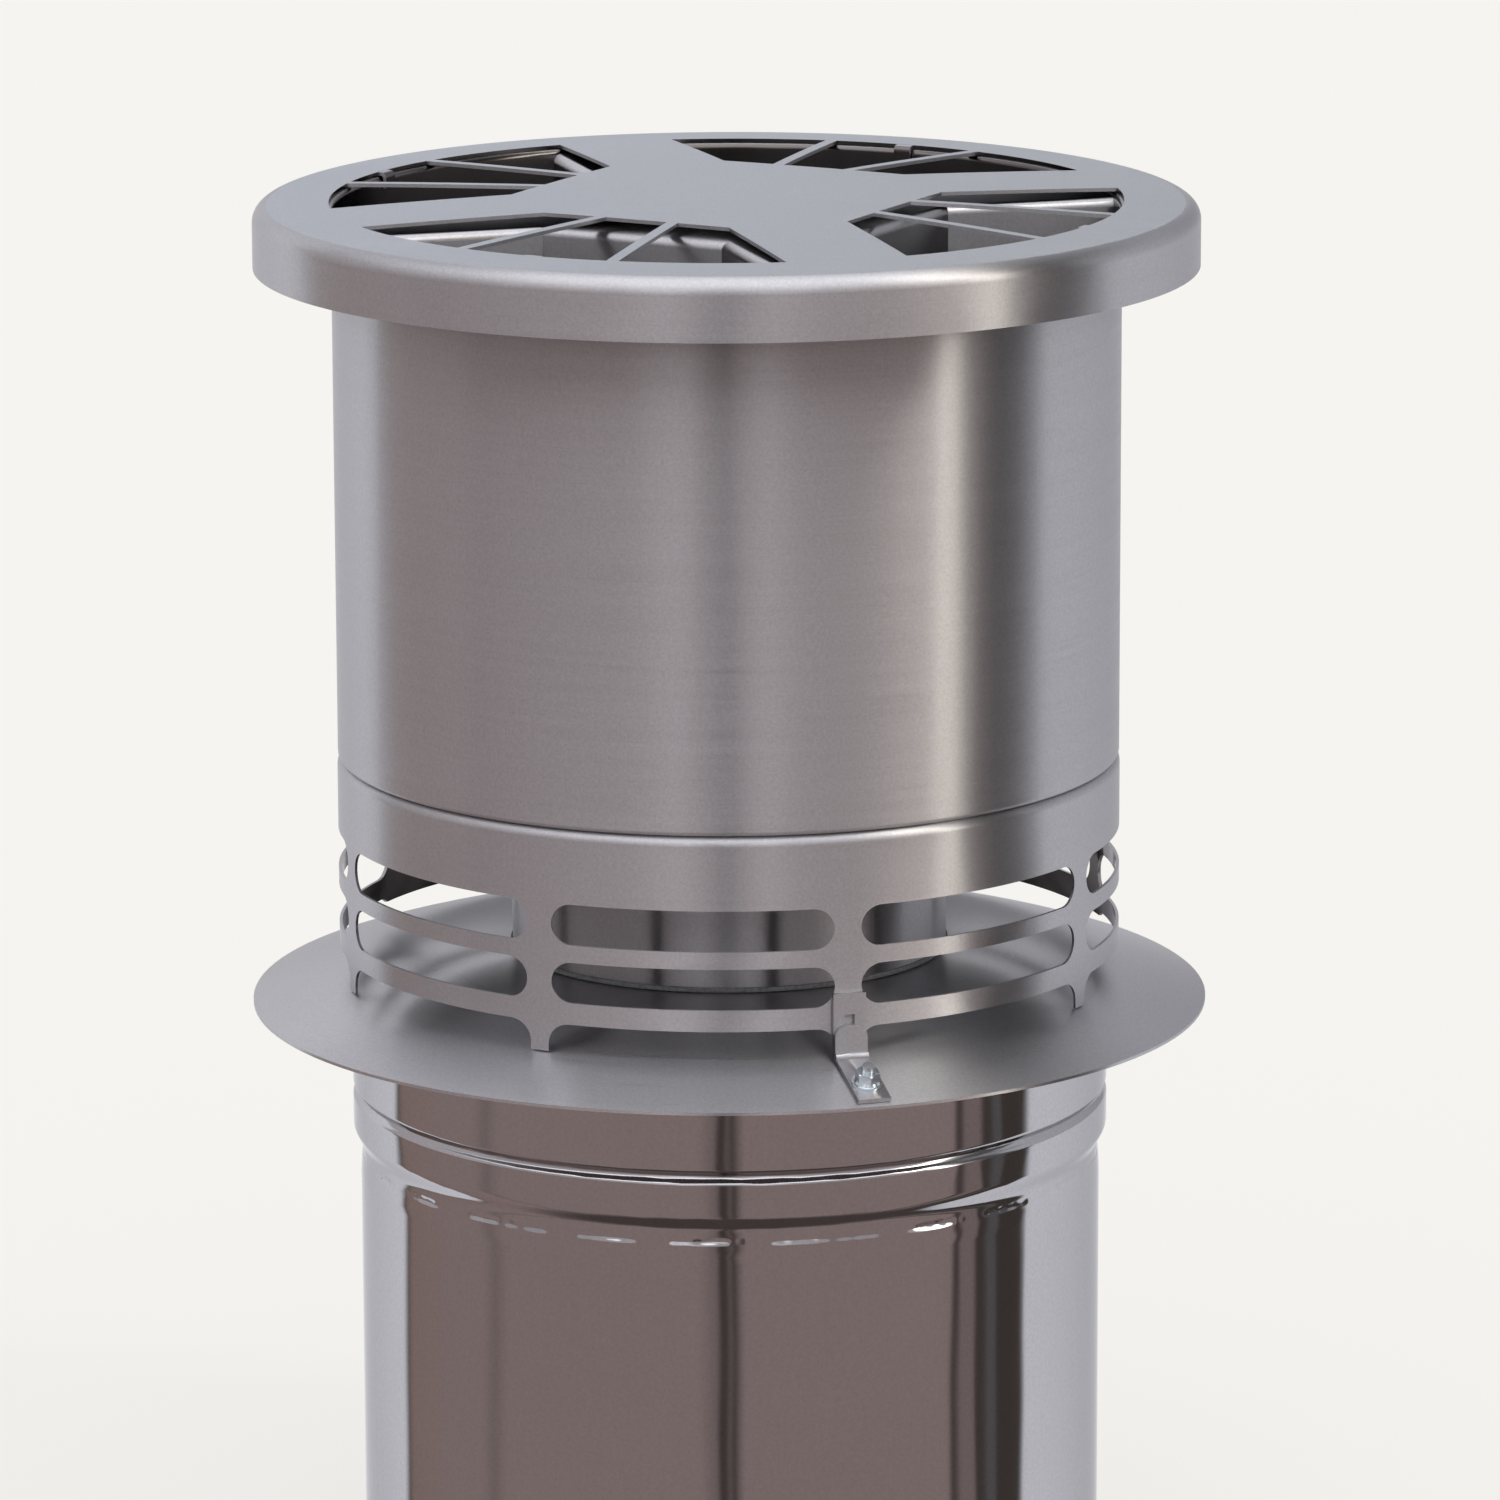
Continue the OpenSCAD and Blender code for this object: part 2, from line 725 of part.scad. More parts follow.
// Lug bent down from the edge of an opening, inside the casing's wall
module cap_lug() {
    out_r = casing_r - sheet - lug_gap;
    z = cap_edge_z + dome_rise(vent_r + cap_t);
    face = concat(
        [[vent_r + cap_t, z - cap_t], [vent_r + cap_t, z]],
        arc(out_r - cap_t + lug_bend_r, z - lug_bend_r, lug_bend_r, 90, 180),
        [[out_r - cap_t, z - lug_h], [out_r, z - lug_h]],
        arc(out_r - cap_t + lug_bend_r, z - lug_bend_r, lug_bend_r - cap_t, 180, 90));
    translate([0, lug_w / 2, 0])
        rotate([90, 0, 0])
            linear_extrude(lug_w)
                polygon(face);
}

module inner_duct() {
    top = seam_z;
    color("silver")
        rotate_extrude()
            polygon([
                [duct_r - sheet, duct_foot_z], [duct_r, duct_foot_z], [duct_r, top],
                [duct_r + flange_w, top], [duct_r + flange_w, top + sheet - seat_gap],
                [duct_r - sheet, top + sheet - seat_gap]]);
}

module duct_gasket()
    color("dimgray")
        tube(duct_r + gasket_proud, duct_r - sheet, duct_foot_z - gasket_h, gasket_h);

module inlet_cone() {
    z = cone_plate_z + seat_gap;
    mouth_r = duct_r - sheet;
    run = mouth_r - throat_r;
    bell = [for (i = [0:arc_steps]) let (t = i / arc_steps)
        [throat_r + run * (1 - ease((1 + t) / 2)) * 2, z + cone_h * t]];
    back = [for (i = [arc_steps:-1:0]) [bell[i][0] + cone_plate_t, bell[i][1]]];
    color("silver")
        rotate_extrude()
            polygon(concat(
                bell,
                [for (p = back) if (p[1] > z + cone_plate_t) p],
                [[mouth_r + cone_plate_t, z + cone_plate_t], [cone_rim_r, z + cone_plate_t],
                    [cone_rim_r, z]]));
}

// Outline under the cap's hub and arms
module cross() {
    rotate([0, 0, 45]) square(2 * housing_hub, center = true);
    for (a = [0, 90])
        rotate([0, 0, a]) square([2 * casing_r, 2 * housing_arm], center = true);
}

// A plate in the cross's outline, trimmed to fit inside the casing
module cross_plate(z, h)
    translate([0, 0, z])
        intersection() {
            linear_extrude(h) cross();
            cylinder(r = trim_r, h = h);
        }

// Section of a wall with its top folded over, its outer face at x = 0
function wall_section() =
    let (h = housing_top_z - motor_z, f = housing_fold_r)
    concat(
        [[0, 0]],
        arc(-f, h - f, f, 0, 90, fold_steps),
        arc(-f, h - f, f - sheet, 90, 0, fold_steps),
        [[-sheet, 0]]);

// Stands a section up, its x along Y, and draws it out along X
module along_x(length)
    translate([0, 0, motor_z])
        rotate([90, 0, 90])
            linear_extrude(length)
                children();

module motor_housing() {
    half_w = housing_hub - housing_arm * sqrt(2) + housing_fold_r;
    color("silver")
        intersection() {
            union() {
                translate([0, 0, housing_top_z - sheet])
                    rotate([0, 0, 45])
                        linear_extrude(sheet)
                            square(2 * (housing_hub - housing_fold_r), center = true);
                for (q = [0:3])
                    rotate([0, 0, 45 + q * 90])
                        translate([-half_w, housing_hub, 0])
                            along_x(2 * half_w) polygon(wall_section());
            }
            translate([-housing_corner, -housing_corner, motor_z])
                cube([2 * housing_corner, 2 * housing_corner, housing_depth]);
        }
}

// Four channels, upside down, from the housing to the casing's wall
module housing_arms() {
    wall = wall_section();
    flat = housing_arm - housing_fold_r;
    top = housing_top_z - motor_z;
    color("silver")
        for (q = [0:3])
            rotate([0, 0, q * 90])
                intersection() {
                    translate([housing_corner + seat_gap / 2, 0, 0])
                        along_x(casing_r - housing_corner) {
                            translate([housing_arm, 0]) polygon(wall);
                            mirror([1, 0]) translate([housing_arm, 0]) polygon(wall);
                            translate([-flat, top - sheet]) square([2 * flat, sheet]);
                        }
                    cylinder(r = trim_r, h = housing_top_z + past);
                }
}

module motor_plate()
    color("darkgray")
        difference() {
            cross_plate(plate_z, plate_t);
            translate([0, 0, plate_z - past])
                cylinder(r = bearing_r + bearing_clear, h = plate_t + 2 * past);
            translate([0, 0, plate_z - past])
                motor_screw_ring()
                    cylinder(r = foot_screw_r + 5 * seat_gap, h = plate_t + 2 * past);
        }

// Repeats its child at the four screws of the motor's foot
module motor_screw_ring()
    for (i = [0:3])
        rotate([0, 0, 45 + 90 * i])
            translate([motor_r + foot_reach - foot_screw_in, 0, 0])
                children();

module insulating_board()
    color("wheat")
        difference() {
            cross_plate(board_z, board_t);
            translate([0, 0, board_z - past])
                cylinder(r = cooling_r + disc_clear, h = board_t + 2 * past);
            translate([0, 0, plate_z - head_room])
                motor_screw_ring() cylinder(r = screw_head_r + head_clear, h = head_room + past);
        }

module motor_casing()
    color("slategray")
        difference() {
            union() {
                translate([0, 0, motor_z]) cylinder(r = motor_r, h = motor_h - cover_t);
                translate([0, 0, motor_z]) motor_foot();
                for (i = [0:fin_count - 1])
                    rotate([0, 0, (i + 0.5) * 360 / fin_count])
                        translate([motor_r - past, -fin_t / 2, motor_z + fin_low])
                            cube([fin_out + past, fin_t, motor_h - fin_low - fin_high]);
            }
            translate([0, 0, motor_z + motor_wall])
                cylinder(r = motor_r - motor_wall, h = motor_h);
            translate([0, 0, motor_z - past])
                cylinder(r = shaft_r + shaft_clear, h = motor_h);
            translate([0, 0, motor_z - past])
                motor_screw_ring()
                    cylinder(r = foot_screw_r + seat_gap, h = foot_t + 2 * past);
        }

// Four arms under the motor, for its screws
module motor_foot()
    intersection() {
        for (a = [45, 135])
            rotate([0, 0, a])
                translate([0, 0, foot_t / 2])
                    cube([2 * (motor_r + foot_reach), foot_arm_w, foot_t], center = true);
        cylinder(r = motor_r + foot_reach, h = foot_t + past);
    }

module motor_cover()
    color("slategray")
        translate([0, 0, motor_top_z - cover_t])
            difference() {
                union() {
                    cylinder(r = motor_r, h = cover_t);
                    cylinder(r = bearing_r + cover_boss_wall, h = cover_t + cover_boss_h);
                }
                translate([0, 0, cover_t - bearing_h - past])
                    cylinder(r = bearing_r + run_gap, h = bearing_h + past);
            }

module stator_core()
    color("dimgray")
        tube(motor_r - motor_wall - seat_gap, rotor_r + air_gap, core_z, core_h);

module stator_windings()
    color("peru")
        for (z = [core_z - thread_gap - winding_h, core_z + core_h + thread_gap])
            tube(motor_r - motor_wall - winding_gap, rotor_r + winding_gap, z, winding_h);

module bearings()
    color("gainsboro")
        for (z = [low_bearing_z + thread_gap, top_bearing_z - thread_gap])
            tube(bearing_r, shaft_r + run_gap, z, bearing_h);

module motor_screws()
    color("whitesmoke")
        motor_screw_ring() {
            translate([0, 0, plate_z - seat_gap - screw_head_t])
                cylinder(r = screw_head_r, h = screw_head_t);
            translate([0, 0, plate_z - past])
                cylinder(r = foot_screw_r, h = past + plate_t + foot_t + foot_screw_up);
        }

module cable_gland()
    color("black")
        on_back_wall()
            difference() {
                union() {
                    translate([0, 0, -gland_in]) cylinder(r = gland_thread_r, h = gland_in + past);
                    translate([0, 0, seat_gap]) hex_bar(gland_flats, gland_hex_h);
                    cylinder(r = gland_body_r, h = gland_body_h);
                }
                translate([0, 0, -gland_in - past])
                    cylinder(r = cable_r, h = gland_in + gland_body_h + 2 * past);
            }

module gland_nut()
    color("dimgray")
        on_back_wall()
            difference() {
                union() {
                    translate([0, 0, gland_hex_h + 2 * seat_gap])
                        hex_bar(gland_nut_flats, gland_nut_h);
                    translate([0, 0, gland_hex_h + gland_nut_h])
                        cylinder(r1 = gland_nut_flats / 2, r2 = cable_r + gland_lip, h = gland_dome_h);
                }
                cylinder(r = gland_body_r + run_gap, h = gland_body_h + seat_gap);
                cylinder(r = cable_r, h = gland_hex_h + gland_nut_h + gland_dome_h + past);
            }

module hinge_head_leaf()
    color("silver")
        difference() {
            union() {
                knuckle(-strap_w / 2, strap_w);
                translate([-strap_w / 2, ring_r, hinge_z])
                    cube([strap_w, strap_t, strap_z + strap_h - hinge_z]);
            }
            translate([-strap_w, hinge_y, hinge_z])
                rotate([0, 90, 0])
                    cylinder(r = hinge_pin_r + run_gap, h = 2 * strap_w);
        }

module catch_strap()
    color("lightgray")
        translate([-strap_w / 2, -ring_r - strap_t, strap_z])
            difference() {
                cube([strap_w, strap_t, strap_h]);
                translate([strap_w / 2 - strap_hole / 2, -past, flue_h + tab_top_h - strap_z])
                    cube([strap_hole, strap_t + 2 * past, strap_hole]);
            }

module motor_shaft()
    color("gainsboro") {
        translate([0, 0, shaft_bottom_z])
            cylinder(r = thread_r, h = back_z - hub_boss_h - shaft_bottom_z);
        translate([0, 0, back_z - hub_boss_h])
            cylinder(r = shaft_r, h = motor_top_z - past - back_z + hub_boss_h);
    }

module rotor_core()
    color("dimgray")
        tube(rotor_r, shaft_r, core_z, core_h);

module cooling_disc() {
    low = board_z - disc_t + seat_gap;
    color("silver") {
        tube(cooling_r, shaft_r, low, disc_t);
        tube(disc_boss_r, shaft_r, low, disc_boss_h + disc_t);
        for (i = [0:vane_count - 1])
            rotate([0, 0, i * 360 / vane_count])
                translate([disc_boss_r - run_gap, -vane_t / 2, low + disc_t - run_gap])
                    cube([cooling_r - disc_boss_r - vane_inset, vane_t, vane_h]);
    }
}

module impeller_hub()
    color("gainsboro") {
        tube(hub_boss_r, shaft_r, back_z - hub_boss_h, hub_boss_h);
        tube(hub_flange_r, shaft_r, back_z - hub_flange_t, hub_flange_t);
    }

module impeller_backplate()
    color("silver")
        tube(impeller_r, shaft_r, back_z, impeller_t);

// Height of the shroud's lower face at a radius
function shroud_z(r) = eye_z + eye_lip_h
    + shroud_rise * sqrt(max(0, (r - eye_r) / (impeller_r - eye_r)));

shroud_radii = [for (i = [0:shroud_steps])
    eye_r + (impeller_r - eye_r) * pow(i / shroud_steps, 2)];

module impeller_shroud() {
    face = [for (r = shroud_radii) [r, shroud_z(r)]];
    back = [for (i = [shroud_steps:-1:0]) let (t = i / shroud_steps)
        [shroud_radii[i] - impeller_t * (1 - t), shroud_z(shroud_radii[i]) + impeller_t * t]];
    color("silver")
        rotate_extrude()
            polygon(concat(
                [[eye_r, eye_z]],
                face,
                back,
                [[eye_r - impeller_t, eye_z]]));
}

// Plan of one backward-curved blade
module blade_plan() {
    side = [for (i = [0:blade_steps])
        let (t = i / blade_steps, r = blade_in_r + (blade_out_r - blade_in_r) * t)
        [r, -blade_sweep * pow(t, 1.25)]];
    polygon(concat(
        [for (p = side) [p[0] * cos(p[1]), p[0] * sin(p[1])]],
        [for (i = [blade_steps:-1:0])
            let (r = side[i][0], a = side[i][1] + blade_slant * blade_t / r * 180 / PI)
            [r * cos(a), r * sin(a)]]));
}

module impeller_blades() {
    low = [for (r = shroud_radii) if (r > eye_r) [r, shroud_z(r) + impeller_t + seat_gap / 2]];
    in_r = blade_in_r - 2 * eye_gap;
    color("silver")
        difference() {
            translate([0, 0, eye_z])
                for (i = [0:blade_count - 1])
                    rotate([0, 0, i * 360 / blade_count])
                        linear_extrude(back_z - eye_z) blade_plan();
            rotate_extrude()
                polygon(concat([[in_r, eye_z - past], [in_r, low[0][1]]], low,
                    [[impeller_r + past, eye_z - past]]));
        }
}

module impeller_nut()
    color("whitesmoke")
        translate([0, 0, back_z - hub_boss_h - seat_gap - hub_washer_t - hub_nut_h + past])
            difference() {
                union() {
                    hex_bar(hub_nut_flats, hub_nut_h);
                    translate([0, 0, hub_nut_h - past])
                        cylinder(r = hub_washer_r, h = hub_washer_t);
                }
                translate([0, 0, -past]) cylinder(r = thread_r, h = hub_nut_h + 2 * past);
            }

flue_jacket();
flue_liner();
flue_insulation();
flue_bottom_ring();
flue_top_ring();
base_collar();
spigot();
spigot_seal();
hinge_base_leaf();
hinge_pin();
hinge_rivets();
catch_bracket();
catch_screw();
catch_nut();
slotted_ring();
outer_casing();
top_cap();
inner_duct();
duct_gasket();
inlet_cone();
motor_housing();
housing_arms();
motor_plate();
insulating_board();
motor_casing();
motor_cover();
stator_core();
stator_windings();
bearings();
motor_screws();
cable_gland();
gland_nut();
hinge_head_leaf();
catch_strap();
motor_shaft();
rotor_core();
cooling_disc();
impeller_hub();
impeller_backplate();
impeller_blades();
impeller_shroud();
impeller_nut();
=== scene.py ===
import json
import math

import bpy
from mathutils import Matrix, Vector

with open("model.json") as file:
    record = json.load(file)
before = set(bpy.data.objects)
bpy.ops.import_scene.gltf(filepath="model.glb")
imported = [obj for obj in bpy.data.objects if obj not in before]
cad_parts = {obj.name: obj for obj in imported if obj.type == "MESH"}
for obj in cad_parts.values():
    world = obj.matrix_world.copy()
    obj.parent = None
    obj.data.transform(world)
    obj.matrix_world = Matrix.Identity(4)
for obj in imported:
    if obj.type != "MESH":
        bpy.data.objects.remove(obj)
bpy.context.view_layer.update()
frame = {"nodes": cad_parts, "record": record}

NODES = frame["nodes"]
SCENE = bpy.context.scene

# The camera's place: metres, and angles in radians from the level line to the object's axis
CAM_BEARING = math.radians(-17.0)
CAM_DISTANCE = 2.8207
CAM_HEIGHT = 0.9164
CAM_PITCH = 0.2206
CAM_YAW = 0.00255
CAM_ROLL = -0.0033
CAM_LENS_MM = 206.67
CAM_SENSOR_MM = 36.0
CAM_CLIP = (0.1, 60.0)

# Level directions from the object: towards the camera, and to the camera's right
TOWARD = Vector((math.sin(CAM_BEARING), -math.cos(CAM_BEARING), 0.0))
ACROSS = Vector((math.cos(CAM_BEARING), math.sin(CAM_BEARING), 0.0))
UP = (0, 0, 1)

# What the camera sees behind and under the object
BACKDROP = (0.905, 0.89, 0.855)
FLOOR_COLOUR = (0.88, 0.875, 0.85)
FLOOR_GLOW = (0.915, 0.895, 0.857)
FLOOR_GLOW_SHARE = 0.75
# Half the floor's length, and how far it lies below the object, in metres
FLOOR_HALF = 30.0
FLOOR_DROP = 0.0002
# The light that falls on what is matt
EVEN_LIGHT = (0.85, 0.85, 0.86)

# The sky's colours, which show only where they are mirrored
PALE_LEFT = (0.97, 0.97, 1.0)
PALE_RIGHT = (0.88, 0.88, 0.91)
MILKY = (0.56, 0.56, 0.59)
ROOM = (0.34, 0.26, 0.245)
DUSK = (0.26, 0.20, 0.19)
WARM = (0.35, 0.25, 0.22)
DARK = (0.07, 0.055, 0.05)
SHADE = (0.13, 0.12, 0.12)
GREY = (0.565, 0.53, 0.54)
DIMMER = (0.47, 0.44, 0.45)
SOFT = (1.02, 1.00, 1.03)
LAMP = (4.3, 4.05, 3.6)
CROWN_BACK = (0.70, 0.70, 0.73)
CROWN_FRONT = (1.75, 1.73, 1.78)
CROWN_LAMP = (7.0, 6.6, 6.0)
GROUND = (0.09, 0.07, 0.065)
ZENITH = (1.75, 1.75, 1.8)

# Three belts of the sky. Each is a row of bearings in degrees with their colours, where 0 is
# towards the camera and 90 to the camera's right.
# What stands level with the object and a little below it, sharp in the bright pipe
LEVEL_BELT = (
    (-180, PALE_LEFT), (-123, PALE_LEFT), (-121.5, DARK), (-119, WARM), (-97, ROOM),
    (-84, ROOM), (-79, DUSK), (-74, ROOM), (-9, ROOM), (-5, DUSK), (-3.4, DUSK),
    (-2.9, DARK), (-1.2, DARK), (-0.7, DUSK), (-0.2, DUSK), (0.3, DARK), (2.2, DARK),
    (3.2, ROOM), (71.8, ROOM), (72.6, DARK), (74.4, DARK), (75.2, DUSK), (81.6, DUSK),
    (82.4, DARK), (85.4, DARK), (86.4, SHADE), (90.0, SHADE), (91.4, DARK), (102.2, DARK),
    (103.8, PALE_RIGHT), (170, PALE_RIGHT), (180, PALE_LEFT))
# What the brushed sheet gathers from above that
TALL_BELT = (
    (-180, PALE_LEFT), (-129, PALE_LEFT), (-126.5, GREY), (-84, GREY), (-74, DIMMER),
    (-56, DIMMER), (-30, GREY), (-14, SOFT), (-6, GREY), (-3, DIMMER), (1, DIMMER),
    (4, GREY), (11, SOFT), (20, GREY), (32, DIMMER), (46, DIMMER), (61, GREY), (66, LAMP),
    (69, LAMP), (73, GREY), (82, SHADE), (93, SHADE), (98, MILKY), (170, MILKY),
    (180, PALE_LEFT))
# What the sloping collar mirrors from higher up, straight and by way of the casing
CROWN_BELT = (
    (-180, CROWN_BACK), (-120, (0.9, 0.9, 0.95)), (-80, (1.5, 1.48, 1.55)),
    (-45, CROWN_FRONT), (44, CROWN_FRONT), (55, (1.75, 1.7, 1.65)), (62, CROWN_LAMP),
    (70, CROWN_LAMP), (76, (0.8, 0.78, 0.75)), (82, SHADE), (100, SHADE),
    (130, (0.2, 0.2, 0.2)), (150, (0.5, 0.5, 0.52)), (180, CROWN_BACK))
# Sines of the heights between which the sky goes over from the ground to the level belt, from
# that to the tall one, to the crown and to the zenith
BELT_EDGES = ((-0.92, -0.80), (-0.06, 0.0), (0.45, 0.62), (0.82, 0.94))

STEEL = (0.52, 0.52, 0.54)
BRIGHT = (0.51, 0.51, 0.53)
# How often the grain changes along its lines, round the axis and where they are straight
GRAIN_PER_RADIAN = 3.0
GRAIN_PER_METRE = 12.0
# Cosines between which a face begins to count as turned to the axis, or as the cap's flat top
INWARD = (0.3, 0.6)
FLAT_TOP = (0.985, 0.99)
# Painted shade for sheet that faces the axis: a dark colour standing in for the shade and dark
# reflections inside it, and the smoother finish it gets there
PAINTED_INSIDE_SHADE = (0.15, 0.135, 0.13)
INSIDE_ROUGHNESS = 0.14
# Painted reflection: the cap's flat top is darkened and cooled in its colour, for the open sky that
# it mirrors, which is cooler and dimmer than the studio
PAINTED_SKY_TINT = (0.77, 0.81, 0.84)
# Steel mirrors no more at a glancing angle than head on
EDGE_TINT = (0.66, 0.66, 0.67, 1.0)

# The broken fold line under the jacket's swell, in metres
CREASE_HEIGHT = 0.1480
CREASE_HALF_WIDTH = 0.0017
CREASE_DEPTH = 0.00055

# How rounded stretches are told from real edges
WELD_REACH = 1e-6
SHARP_FROM = math.radians(32)
EVEN_WEIGHT = 60


class Graph:
    """A node tree that is written down as nested calls."""

    def __init__(self, tree):
        tree.nodes.clear()
        self.tree = tree

    def node(self, kind, inputs=None, **props):
        made = self.tree.nodes.new("ShaderNode" + kind)
        for key, value in props.items():
            setattr(made, key, value)
        for key, value in (inputs or {}).items():
            self.feed(made.inputs[key], value)
        return made

    def feed(self, socket, value):
        if isinstance(value, bpy.types.NodeSocket):
            self.tree.links.new(value, socket)
        else:
            socket.default_value = value

    def math(self, operation, a, b=0.0, c=0.0):
        return self.node("Math", {0: a, 1: b, 2: c}, operation=operation).outputs[0]

    def scaled(self, value, factor, offset):
        return self.math("MULTIPLY_ADD", value, factor, offset)

    def lerp(self, share, a, b):
        return self.math("MULTIPLY_ADD", share, self.math("SUBTRACT", b, a), a)

    def dot(self, a, b):
        return self.node("VectorMath", {0: a, 1: b}, operation="DOT_PRODUCT").outputs["Value"]

    def step(self, value, low, high):
        """0 below low, 1 above high, smooth between them."""
        made = self.node("MapRange", {"Value": value, "From Min": low, "From Max": high},
                         interpolation_type="SMOOTHSTEP")
        return made.outputs["Result"]

    def belt(self, turn, stops):
        """Colours round the sky. A turn of 0.5 is towards the camera, 0 and 1 are away from it."""
        made = self.node("ValToRGB", {"Fac": turn})
        points = made.color_ramp.elements
        while len(points) < len(stops):
            points.new(0.5)
        for point, (bearing, colour) in zip(points, stops):
            point.position = bearing / 360 + 0.5
            point.color = (*colour, 1.0)
        return made.outputs["Color"]

    def mix(self, share, a, b, blend="MIX"):
        made = self.node("Mix", {0: share}, data_type="RGBA", blend_type=blend)
        for slot, value in ((6, a), (7, b)):
            plain = not isinstance(value, bpy.types.NodeSocket)
            self.feed(made.inputs[slot], (*value, 1.0) if plain else value)
        return made.outputs[2]

    def toned(self, colour, *patterns):
        """A colour that each pattern makes lighter here and darker there, by its share."""
        tone = 1.0 - sum(share for _, share in patterns) / 2
        for pattern, share in patterns:
            tone = self.scaled(pattern, share, tone)
        grey = self.node("CombineColor", {0: tone, 1: tone, 2: tone}).outputs[0]
        return self.mix(1.0, colour, grey, "MULTIPLY")

    def noise(self, vector, scale, detail, rough):
        made = self.node("TexNoise", {"Vector": vector, "Scale": scale, "Detail": detail,
                                      "Roughness": rough})
        return made.outputs["Fac"]

    def drawn_noise(self, first, second, layer, detail, rough):
        """Noise over two measures, each given with its repeats. Layers differ in pattern."""
        axes = [self.math("MULTIPLY", measure, repeats) for measure, repeats in (first, second)]
        place = self.node("CombineXYZ", {0: axes[0], 1: axes[1], 2: layer}).outputs[0]
        return self.noise(place, 1.0, detail, rough)

    def rays(self, *kinds):
        """For each kind of ray, 1 where the sky or the surface is met by one."""
        path = self.node("LightPath")
        return [path.outputs[f"Is {kind} Ray"] for kind in kinds]

    def light(self, colour, kind="Background"):
        return self.node(kind, {"Color": colour, "Strength": 1.0})

    def blend(self, share, first, second):
        return self.node("MixShader", {0: share, 1: first.outputs[0], 2: second.outputs[0]})

    def end(self, shader, kind="OutputMaterial"):
        self.node(kind, {"Surface": shader.outputs[0]})

    def cover(self, inputs):
        """Ends a material with a Principled shader."""
        self.end(self.node("BsdfPrincipled", inputs))


def make_camera():
    data = bpy.data.cameras.new("camera")
    data.lens, data.sensor_width = CAM_LENS_MM, CAM_SENSOR_MM
    data.clip_start, data.clip_end = CAM_CLIP
    ahead = (-TOWARD * math.cos(CAM_YAW) + ACROSS * math.sin(CAM_YAW)) * math.cos(CAM_PITCH)
    ahead.z = -math.sin(CAM_PITCH)
    level_right = ACROSS * math.cos(CAM_YAW) + TOWARD * math.sin(CAM_YAW)
    level_up = level_right.cross(ahead)
    right = level_right * math.cos(CAM_ROLL) + level_up * math.sin(CAM_ROLL)
    up = level_up * math.cos(CAM_ROLL) - level_right * math.sin(CAM_ROLL)
    place = TOWARD * CAM_DISTANCE + Vector((0, 0, CAM_HEIGHT))
    camera = bpy.data.objects.new("camera", data)
    camera.matrix_world = Matrix((
        (right.x, up.x, -ahead.x, place.x),
        (right.y, up.y, -ahead.y, place.y),
        (right.z, up.z, -ahead.z, place.z),
        (0, 0, 0, 1)))
    SCENE.collection.objects.link(camera)
    SCENE.camera = camera


def make_world():
    """The backdrop for the camera, even light for what is matt, and the belts for the metal."""
    world = bpy.data.worlds.new("studio")
    SCENE.world = world
    world.use_nodes = True
    g = Graph(world.node_tree)
    sight = g.node("TexCoord").outputs["Generated"]
    turn = g.math("ARCTAN2", g.dot(sight, ACROSS), g.dot(sight, TOWARD))
    turn = g.scaled(turn, 0.5 / math.pi, 0.5)
    rise = g.dot(sight, UP)
    bands = [g.belt(turn, stops) for stops in (LEVEL_BELT, TALL_BELT, CROWN_BELT)]
    room = GROUND
    for (low, high), band in zip(BELT_EDGES, (*bands, ZENITH)):
        room = g.mix(g.step(rise, low, high), room, band)
    matt, seen = g.rays("Diffuse", "Camera")
    lit = g.blend(matt, g.light(room), g.light((*EVEN_LIGHT, 1)))
    g.end(g.blend(seen, lit, g.light((*BACKDROP, 1))), "OutputWorld")


def make_floor():
    corners = [(x * FLOOR_HALF, y * FLOOR_HALF, 0) for x, y in ((-1, -1), (1, -1), (1, 1), (-1, 1))]
    mesh = bpy.data.meshes.new("floor")
    mesh.from_pydata(corners, [], [(0, 1, 2, 3)])
    floor = bpy.data.objects.new("floor", mesh)
    SCENE.collection.objects.link(floor)
    floor.location.z = -FLOOR_DROP
    material, g = surface("floor")
    seen, *others = g.rays("Camera", "Glossy", "Transmission")
    for other in others:
        seen = g.math("MAXIMUM", seen, other)
    diffuse = g.node("BsdfDiffuse", {"Color": (*FLOOR_COLOUR, 1)})
    glow = g.light((*FLOOR_GLOW, 1), "Emission")
    g.end(g.blend(g.math("MULTIPLY", seen, FLOOR_GLOW_SHARE), diffuse, glow))
    mesh.materials.append(material)
    # The metal mirrors the studio beyond the floor
    floor.visible_glossy = False


def surface(name):
    material = bpy.data.materials.new(name)
    material.use_nodes = True
    return material, Graph(material.node_tree)


def round_axis(g):
    """Position on sheet that was worked round the Z axis: angle, radius and height in metres."""
    place = g.node("TexCoord").outputs["Object"]
    x, y, z = g.node("SeparateXYZ", {0: place}).outputs[:3]
    angle = g.math("ARCTAN2", y, x)
    radius = g.math("SQRT", g.scaled(x, x, g.math("MULTIPLY", y, y)))
    return place, angle, radius, z


def facing_in(g):
    """1 on sheet that faces the axis, 0 on the outside."""
    coords = g.node("TexCoord")
    x, y, _ = g.node("SeparateXYZ", {0: coords.outputs["Object"]}).outputs[:3]
    level = g.node("CombineXYZ", {0: x, 1: y, 2: 0.0}).outputs[0]
    out = g.node("VectorMath", {0: level}, operation="NORMALIZE").outputs["Vector"]
    facing = g.dot(out, coords.outputs["Normal"])
    return g.step(g.math("MULTIPLY", facing, -1.0), *INWARD)


